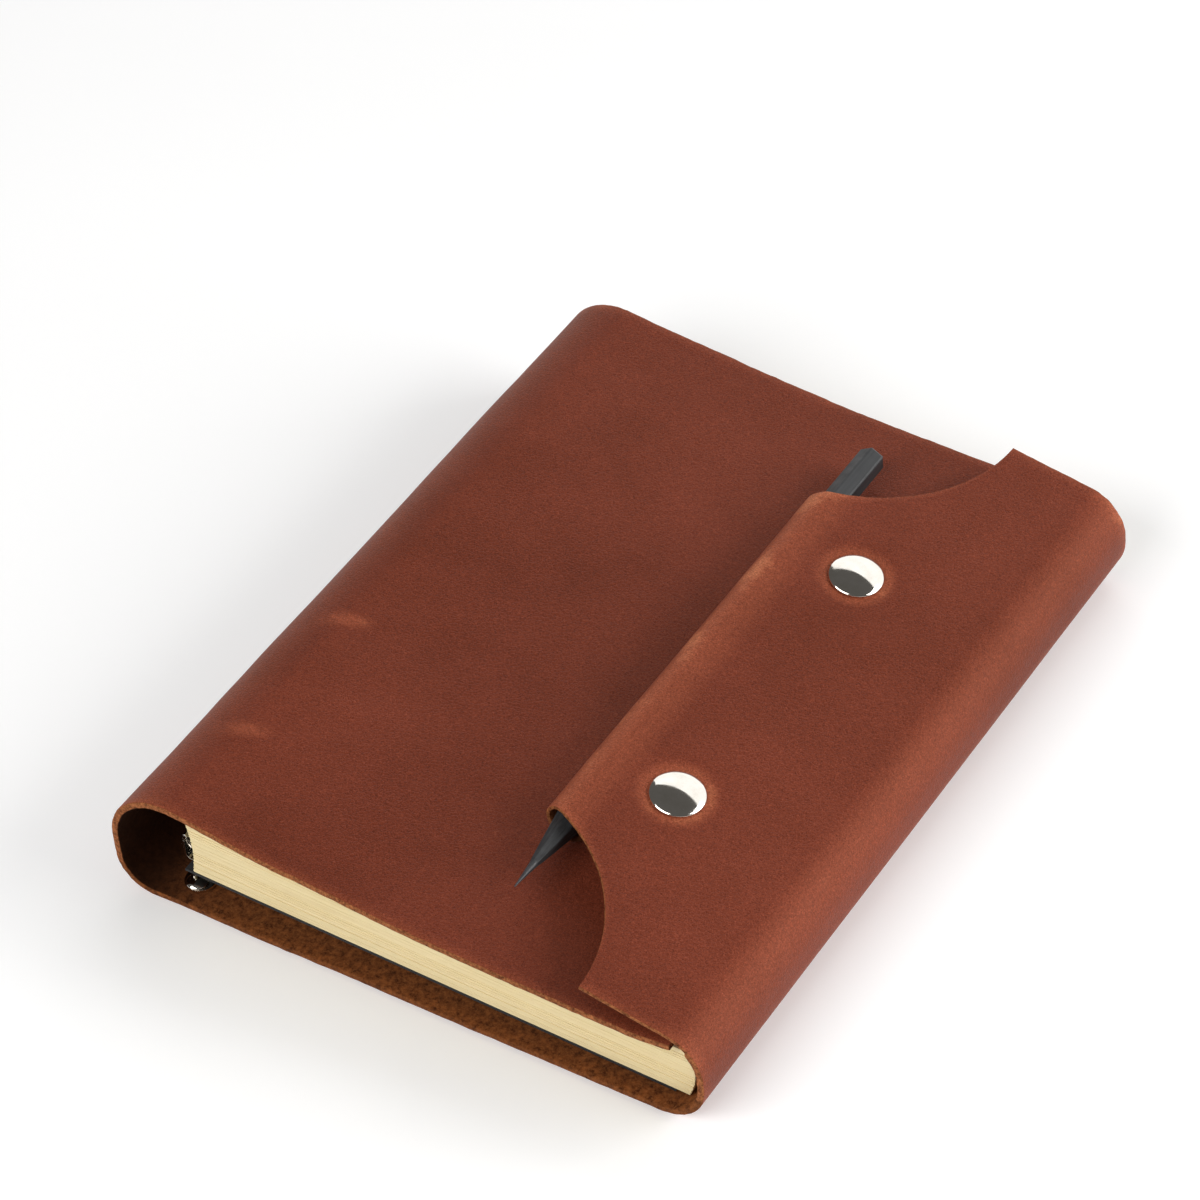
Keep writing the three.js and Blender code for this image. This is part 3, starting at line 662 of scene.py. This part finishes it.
def strip(name, some, open_start, open_end):
    """A stretch of the hide. An open end is a cut edge, and any other end meets the next stretch."""
    line = [(row, 1.0, 0.0) for row in some]
    if open_start:
        line = [(some[0], 0.0, EDGE_ROUND)] + line
    if open_end:
        line = line + [(some[-1], 0.0, -EDGE_ROUND)]
    bm = bmesh.new()
    bmesh.ops.create_grid(bm, x_segments=len(ring), y_segments=len(line) - 1, size=0.5)
    names = ("wear_and_sheen", "flesh", "cut", "painted_shade")
    wear_and_sheen, flesh, cut, painted_shade = (bm.verts.layers.float.new(n) for n in names)
    for vert in bm.verts:
        i = round((vert.co.x + 0.5) * len(ring)) % len(ring)
        row, thin, push = line[round((vert.co.y + 0.5) * (len(line) - 1))]
        place = ring[i]
        vert.co, rubbed = skin_point(row, place, thin, push)
        inside = place[2] / HIDE
        side = 1.0 if place[1] != 0.0 else 0.0
        end = 1.0 if thin < 0.5 else 0.0
        near_edge = hill(1 - abs(place[0]), 0.0, 0.02)
        pressed = ring_marks(row, vert.co / MM) if inside < 0.1 else 0.0
        # Rubbing, ring marks and worn cut edges; the row's share holds the painted sheen of the
        # fore-edge's top bend.
        vert[wear_and_sheen] = min(1.0, row.wear_and_sheen + rubbed + pressed + 0.35 * near_edge)
        # Painted shade, in the spine's hollow and on the turned-under layer.
        vert[painted_shade] = shadowed(row, inside)
        vert[flesh] = inside
        vert[cut] = max(side if 0.1 < inside < 0.95 else 0.35 * side, end)
        if side and row.out.y < -0.3 and not is_flap(row):
            vert[cut], vert[flesh] = 0.3 * vert[cut], 1.0
    bmesh.ops.remove_doubles(bm, verts=bm.verts, dist=1e-7)
    rims = [e for e in bm.edges if e.is_boundary]
    bmesh.ops.holes_fill(bm, edges=rims, sides=0)
    bmesh.ops.recalc_face_normals(bm, faces=bm.faces)
    made = piece(bm, name, hide_material, 60)
    return made


def index_where(test):
    return next(i for i, row in enumerate(rows) if test(row))


at_spine = index_where(lambda r: abs(r.point.x - left) < 0.01 and r.point.y < spine_top.y - 2)
at_back = index_where(lambda r: r.out.y < -0.9 and r.point.x > -5 and r.point.y < 0.1)
at_wall = index_where(lambda r: abs(r.point.x - right) < 0.01 and r.point.y > FORE_FOOT + 1)

cover_skin = strip("front_cover_hide", rows[: at_spine + 1], True, False)
back_skin = strip("spine_foot_hide", rows[at_spine : at_back + 1], False, False)
fore_skin = strip("back_to_fore_edge_hide", rows[at_back : at_wall + 1], False, False)
flap_skin = strip("flap_and_sleeve_hide", rows[at_wall:], False, True)


# %% [markdown]
# Each fold is a hinge in the frame. Here each skin only has its placement baked into its mesh; the
# ends of its bend are worked out but not used, and nothing turns the skin across the fold.

# %% Bake each skin's placement into its mesh


def on_arc(centre, radius, degrees):
    angle = math.radians(degrees)
    x, z = centre.x + radius * math.cos(angle), centre.y + radius * math.sin(angle)
    return Vector((x, 0, z)) * MM


def bend(skin, before, after, centre, radius, start, end):
    on_arc(centre, radius, start)
    on_arc(centre, radius, end)
    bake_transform(skin)
    print(skin.name, "turns from", before, "to", after)


bend(cover_skin, "spine", "front", spine_top, SPINE_TOP, 168, 92)
bend(back_skin, "spine", "back", spine_foot, SPINE_FOOT, 186, 264)
bend(fore_skin, "back", "fore_edge", fore_foot, FORE_FOOT, -84, -6)
bend(flap_skin, "fore_edge", "flap", fore_top, FORE_TOP, 12, 79)
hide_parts("front_cover_leather", "spine_leather")
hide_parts("back_cover_leather")
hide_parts("fore_edge_leather")
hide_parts("flap_leather")


# %% [markdown]
# ## The sheets
#
# A block of paper is a stack of leaves that never line up exactly. Forty-odd thick leaves, each
# pushed a little out of line, give the ragged stripes that the eye reads as pages, and the finish
# adds the finer ones. A leaf is a grid whose cuts fall on the sides of the punched slots, so the
# slots are simply faces taken away before it gets its thickness.

# %% Stack the leaves
LEAVES = 46
PAGE_WIDTH = 148.0
STATIONS = [-73, -54, -35, 35, 54, 73]  # of the rings and the holes
HOLE_HALF = 2.7  # half the width of a slot along the spine
page_left = left + 21.3
page_right = page_left + PAGE_WIDTH
ring_x = page_left - 1.4


def corner_heights():
    """The height of the block's corners, from its own vertices."""
    block = [v.co / MM for v in frame["nodes"]["paper_block"].data.vertices]
    lefts = [v.z for v in block if v.x < page_left + 0.05]
    rights = [v.z for v in block if abs(v.x - page_right) < 0.05]
    return min(lefts), max(lefts), min(rights), max(rights)


low_left, high_left, low_right, high_right = corner_heights()


def is_hole(middle, near, far):
    return near < middle.x < far and any(abs(middle.y - y) < HOLE_HALF for y in STATIONS)


def leaf(bm, share, thick):
    xs = [page_left, ring_x + 4.5, ring_x + 16.8]
    xs += [page_left + PAGE_WIDTH * t for t in (0.3, 0.55, 0.8, 1.0)]
    sides = [y + side for y in STATIONS for side in (-HOLE_HALF, HOLE_HALF)]
    ys = [paper_low.y, *sides, paper_high.y]
    grid = {"x_segments": len(xs) - 1, "y_segments": len(ys) - 1, "size": 0.5}
    made = bmesh.ops.create_grid(bm, **grid)["verts"]
    slip_x = 0.22 * noise.noise(Vector((share * 57, 1.3, 0)))
    slip_y = 0.30 * noise.noise(Vector((share * 43, 5.1, 0)))
    bow = share * (1 - share) * 4
    for vert in made:
        i = round((vert.co.x + 0.5) * (len(xs) - 1))
        j = round((vert.co.y + 0.5) * (len(ys) - 1))
        across = (xs[i] - page_left) / PAGE_WIDTH
        low = low_left + (low_right - low_left) * across
        high = high_left + (high_right - high_left) * across
        bend = bow * (0.9 * (1 - across) + 1.9 * across)
        sag = 0.25 * math.sin(math.pi * across) * share
        x = xs[i] + (bend + slip_x if i in (0, len(xs) - 1) else 0.0)
        y = ys[j] + (slip_y if j in (0, len(ys) - 1) else 0.0)
        vert.co = Vector((x, y, low + (high - low - thick) * share - sag)) * MM
    faces = {f for v in made for f in v.link_faces}
    holes = [f for f in faces if is_hole(f.calc_center_median() / MM, xs[1], xs[2])]
    bmesh.ops.delete(bm, geom=holes, context="FACES")
    faces = [f for f in faces if f.is_valid]
    grown = bmesh.ops.extrude_face_region(bm, geom=faces)["geom"]
    tops = [g for g in grown if isinstance(g, bmesh.types.BMVert)]
    bmesh.ops.translate(bm, verts=tops, vec=(0, 0, thick * MM))


def paper_block():
    bm = bmesh.new()
    pitch = (high_left - low_left) / LEAVES
    for n in range(LEAVES):
        leaf(bm, n / (LEAVES - 1), pitch * 0.93)
    bmesh.ops.recalc_face_normals(bm, faces=bm.faces)
    made = piece(bm, "page_block", paper, 30)
    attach(made, "back")
    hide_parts("paper_block")


paper_block()


# %% [markdown]
# ## Metal pieces taken from the frame
#
# The plate, rails, levers, rivets and the hidden snap parts already have the right shape, but their
# edges are knife-sharp, and sharp edges never catch the light. A copy of each is merged, its flat
# facets are joined, and its corners get a small two-step bevel.

# %% Soften the CAD metal


def softened(node, material, width):
    source = frame["nodes"][node]
    bm = bmesh.new()
    bm.from_mesh(source.data)
    bmesh.ops.remove_doubles(bm, verts=bm.verts, dist=2e-6)
    bmesh.ops.dissolve_limit(bm, angle_limit=math.radians(1.0), verts=bm.verts, edges=bm.edges)
    round_over(bm, sharp_edges(bm, 32), width, 2, clamp=True)
    made = piece(bm, node + "_finished", material, 30)
    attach(made, source["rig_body"])
    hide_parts(node)


softened("ring_plate", nickel, 0.28)
for node in ("ring_rail_left", "ring_rail_right", "ring_trigger_near", "ring_trigger_far"):
    softened(node, nickel, 0.12)
for end in ("near", "far"):
    for kind in ("socket", "stud", "post"):
        softened(f"snap_{kind}_{end}", nickel, 0.1)
    softened(f"mounting_rivet_{end}", nickel, 0.2)
softened("backing_card", black_card, 0.12)


# %% [markdown]
# ## The rings
#
# A ring is bent wire, so each half is a small circle spun round the ring's own centre. It starts
# under the plate and stops at the top, where the two halves meet with a thin line between them.

# %% Spin the half rings
WIRE = 1.4  # radius of the wire
RING = 12.0  # from the ring's centre to the middle of the wire
START, SWEEP = 6, 173.3  # degrees past the foot where a half starts, and how far it goes round
ring_z = box_mm("half_ring_left_1")[1].z - RING - WIRE


def half_rings(side, word):
    bm = bmesh.new()
    centre = Vector((ring_x, 0, ring_z)) * MM
    upright = Matrix.Rotation(math.radians(90), 3, "Y")
    lean = Matrix.Rotation(math.radians(-START * side), 3, "Y")
    for y in STATIONS:
        middle = centre + Vector((0, y * MM, 0))
        foot = middle + Vector((0, 0, -RING * MM))
        wire = bmesh.ops.create_circle(bm, cap_ends=True, radius=WIRE * MM, segments=20)["verts"]
        bmesh.ops.translate(bm, verts=wire, vec=foot)
        bmesh.ops.rotate(bm, verts=wire, cent=foot, matrix=upright)
        bmesh.ops.rotate(bm, verts=wire, cent=middle, matrix=lean)
        disc = list({f for v in wire for f in v.link_faces})
        bmesh.ops.spin(
            bm,
            geom=disc + list({e for f in disc for e in f.edges}) + wire,
            cent=middle,
            axis=(0, 1, 0),
            angle=math.radians(-SWEEP * side),
            steps=40,
            use_merge=False,
        )
    bmesh.ops.remove_doubles(bm, verts=bm.verts, dist=1e-7)
    bmesh.ops.recalc_face_normals(bm, faces=bm.faces)
    made = piece(bm, f"{word}_half_rings", nickel, 50)
    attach(made, f"ring_leaf_{word}")
    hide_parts(*[f"half_ring_{word}_{i}" for i in range(1, 7)])


half_rings(-1, "left")
half_rings(1, "right")


# %% [markdown]
# ## The snap caps
#
# A cap is a thin pressed disc: a low dome, a tight round at its rim, and a rim that is rolled under
# and just bites into the hide. It is a few points spun all the way round.

# %% Spin the caps
DOME, CAP_TOP = 17.0, 2.12  # radius of the dome, and its height over the hide
SINK = 0.12  # how far the cap bites in


def snap_cap(end, y):
    bm = bmesh.new()
    profile = [
        (DOME * math.sin(math.radians(turn)), CAP_TOP - DOME * (1 - math.cos(math.radians(turn))))
        for turn in range(0, 24, 2)
    ]
    profile += [(6.72, 0.66), (7.02, 0.50), (7.28, 0.30), (7.42, 0.08)]
    profile += [(7.40, -0.12), (7.2, -0.26), (6.6, -0.3), (0.0, -0.3)]
    points = [bm.verts.new(Vector((r, 0, z)) * MM) for r, z in profile]
    edges = [bm.edges.new(pair) for pair in zip(points, points[1:])]
    bmesh.ops.spin(
        bm,
        geom=points + edges,
        cent=(0, 0, 0),
        axis=(0, 0, 1),
        angle=math.tau,
        steps=96,
        use_merge=True,
    )
    bmesh.ops.remove_doubles(bm, verts=bm.verts, dist=1e-6)
    bmesh.ops.recalc_face_normals(bm, faces=bm.faces)
    seat = on_flap(snap_x) - flap_out * SINK
    place = Matrix.Translation(Vector((seat.x, y, seat.y)) * MM)
    bmesh.ops.transform(bm, matrix=place @ Matrix.Rotation(fall, 4, "Y"), verts=bm.verts)
    made = piece(bm, f"snap_cap_{end}_polished", nickel, 50)
    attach(made, "flap")
    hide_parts(f"snap_cap_{end}")


snap_cap("near", SNAP_YS[0])
snap_cap("far", SNAP_YS[1])


# %% [markdown]
# ## The pencil
#
# A hexagonal rod, painted matt black, whose wood is stained black right through. It's cut to a long
# point, so the six flats run on as six long facets, and then the lead runs on thinner.

# %% Shape the pencil
CORNER = 7.0 / math.sqrt(3)  # from the middle to a corner, for 7 mm across the flats
CONE = 26.0  # length that is cut to a point
POINT = 8.6  # length of bare lead
tip_y = lead_low.y
end_y = lead_high.y + 0.3


def hexagon_loop(bm, radius, y):
    loop = bmesh.ops.create_circle(bm, cap_ends=False, radius=radius * MM, segments=6)["verts"]
    upright = Matrix.Rotation(math.radians(90), 3, "X")
    bmesh.ops.rotate(bm, verts=loop, cent=(0, 0, 0), matrix=upright)
    bmesh.ops.translate(bm, verts=loop, vec=Vector((sleeve.x, y, sleeve.y)) * MM)
    return list({e for v in loop for e in v.link_edges})


def hexagon_rod(places):
    """A closed six-sided rod through rings of a radius at a place along it."""
    bm = bmesh.new()
    loops = [hexagon_loop(bm, radius, y) for radius, y in places]
    for a, b in zip(loops, loops[1:]):
        bmesh.ops.bridge_loops(bm, edges=a + b)
    bmesh.ops.holes_fill(bm, edges=[e for e in bm.edges if e.is_boundary], sides=0)
    return bm


def round_rod(near, far, length, y):
    """A round rod about a place along the pencil, with a radius at each end."""
    bm = bmesh.new()
    radii = {"radius1": near * MM, "radius2": far * MM}
    made = bmesh.ops.create_cone(bm, cap_ends=True, segments=24, depth=length * MM, **radii)
    flat = Matrix.Rotation(math.radians(-90), 3, "X")
    bmesh.ops.rotate(bm, verts=made["verts"], cent=(0, 0, 0), matrix=flat)
    bmesh.ops.translate(bm, verts=made["verts"], vec=Vector((sleeve.x, y, sleeve.y)) * MM)
    return bm


# %% Paint the barrel, cut the wood, and set the lead


def barrel():
    bm = hexagon_rod([(CORNER, tip_y + CONE + 0.25), (CORNER, end_y - 0.5), (CORNER - 0.35, end_y)])
    round_over(bm, [e for e in bm.edges if e.calc_length() > 0.1], 0.45, 3)
    bmesh.ops.recalc_face_normals(bm, faces=bm.faces)
    return piece(bm, "pencil_painted_barrel", pencil_paint, 10)


def cut_wood():
    rings = []
    for share in (0.0, 0.12, 0.3, 0.5, 0.7, 0.86, 1.0):
        radius = 1.15 + (CORNER - 1.15) * share**0.94
        rings.append((radius, tip_y + POINT + (CONE - POINT + 0.4) * share))
    bm = hexagon_rod(rings)
    bmesh.ops.recalc_face_normals(bm, faces=bm.faces)
    ridges = [e for e in sharp_edges(bm, 30) if abs((e.verts[0].co - e.verts[1].co).y) > 0.001]
    round_over(bm, ridges, 0.16, 2)
    return piece(bm, "pencil_cut_wood", stained_wood, 12)


def on_the_pencil(made, slot, *nodes):
    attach(made, "pencil")
    if nodes:
        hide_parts(*nodes)


on_the_pencil(barrel(), "pencil_paint", "pencil_barrel")
on_the_pencil(cut_wood(), "pencil_paint")
point = piece(round_rod(0.16, 1.12, 9.2, tip_y + 4.6), "pencil_point", graphite, 30)
on_the_pencil(point, "graphite", "pencil_lead")
core_end = piece(round_rod(1.1, 1.1, 0.3, end_y), "pencil_core_end", graphite, 30)
on_the_pencil(core_end, "graphite")


# %% [markdown]
# ## Floor, light and camera
#
# The wrap lies on a plain white sweep. A soft light to the right gives the hide its shape, a second
# one near the camera lifts the near end, and a wide one behind is the white wall that the caps
# mirror. The world is much darker than the lights, which gives the metal something dark to reflect.

# %% Set the stage


def floor():
    f = Finish("white_sweep", Roughness=0.9, Emission_Color=(1, 1, 1, 1), Emission_Strength=0.16)
    cloud = f.between(f.noise(3, 2), 0.3, 0.7)
    f.into(Base_Color=f.mix(cloud, (0.90, 0.90, 0.90), (0.92, 0.92, 0.92)))
    bm = bmesh.new()
    bmesh.ops.create_grid(bm, x_segments=8, y_segments=8, size=3.0)
    bmesh.ops.translate(bm, verts=bm.verts, vec=(0, 0, -0.2 * MM))
    piece(bm, "floor", f.material)


floor()


# %% Set the lights


def soft_light(name, power, size, place, target):
    light = bpy.data.lights.new(name, "AREA")
    light.energy = power
    light.shape = "RECTANGLE"
    light.size, light.size_y = size
    lamp = bpy.data.objects.new(name, light)
    lamp.location = place
    aim = Vector(target) - Vector(place)
    lamp.rotation_euler = aim.to_track_quat("-Z", "Y").to_euler()
    bpy.context.scene.collection.objects.link(lamp)
    print(name, power, "W")


soft_light("key from the right", 21, (1.3, 0.9), (1.30, 0.50, 0.60), (0.02, 0, 0.02))
soft_light("fill by the camera", 17, (1.3, 0.9), (-0.30, -1.15, 1.00), (0, 0, 0))
soft_light("white wall behind", 27, (3.6, 2.0), (-0.15, 1.35, 0.96), (-0.15, 0, 0.96))
world = bpy.data.worlds.new("studio")
world.use_nodes = True
sky = world.node_tree.nodes["Background"].inputs
sky["Color"].default_value = (1.0, 0.97, 0.93, 1)
sky["Strength"].default_value = 0.10
bpy.context.scene.world = world
bpy.context.scene.view_settings.view_transform = "Standard"


# %% [markdown]
# The camera looks down from the near right at a long focal length, so that parallel edges stay
# nearly parallel. Its aim is given as the spot under the pages' spine edge, pushed off the middle.

# %% Place the camera
TURN, TILT, ROLL = 35.3, 42.9, -5.2  # degrees
DISTANCE, ASIDE, ABOVE = 1.2807, 0.0475, 0.01233  # metres from the aim, back, right and up


def camera():
    turn, tilt, roll = (math.radians(angle) for angle in (TURN, TILT, ROLL))
    level = Vector((math.sin(turn), -math.cos(turn), 0))
    back = level * math.cos(tilt) + Vector((0, 0, math.sin(tilt)))
    across = Vector((math.cos(turn), math.sin(turn), 0))
    up = back.cross(across)
    across, up = (
        across * math.cos(roll) + up * math.sin(roll),
        up * math.cos(roll) - across * math.sin(roll),
    )
    aim = Vector((page_left, 0, 0)) * MM
    data = bpy.data.cameras.new("camera")
    data.sensor_width = 36
    data.lens = 141.8
    seat = bpy.data.objects.new("camera", data)
    spot = aim + back * DISTANCE + across * ASIDE + up * ABOVE
    facing = Matrix((across, up, back)).transposed().to_4x4()
    seat.matrix_world = Matrix.Translation(spot) @ facing
    bpy.context.scene.collection.objects.link(seat)
    bpy.context.scene.camera = seat
    print("camera at", [round(c, 3) for c in spot])


camera()
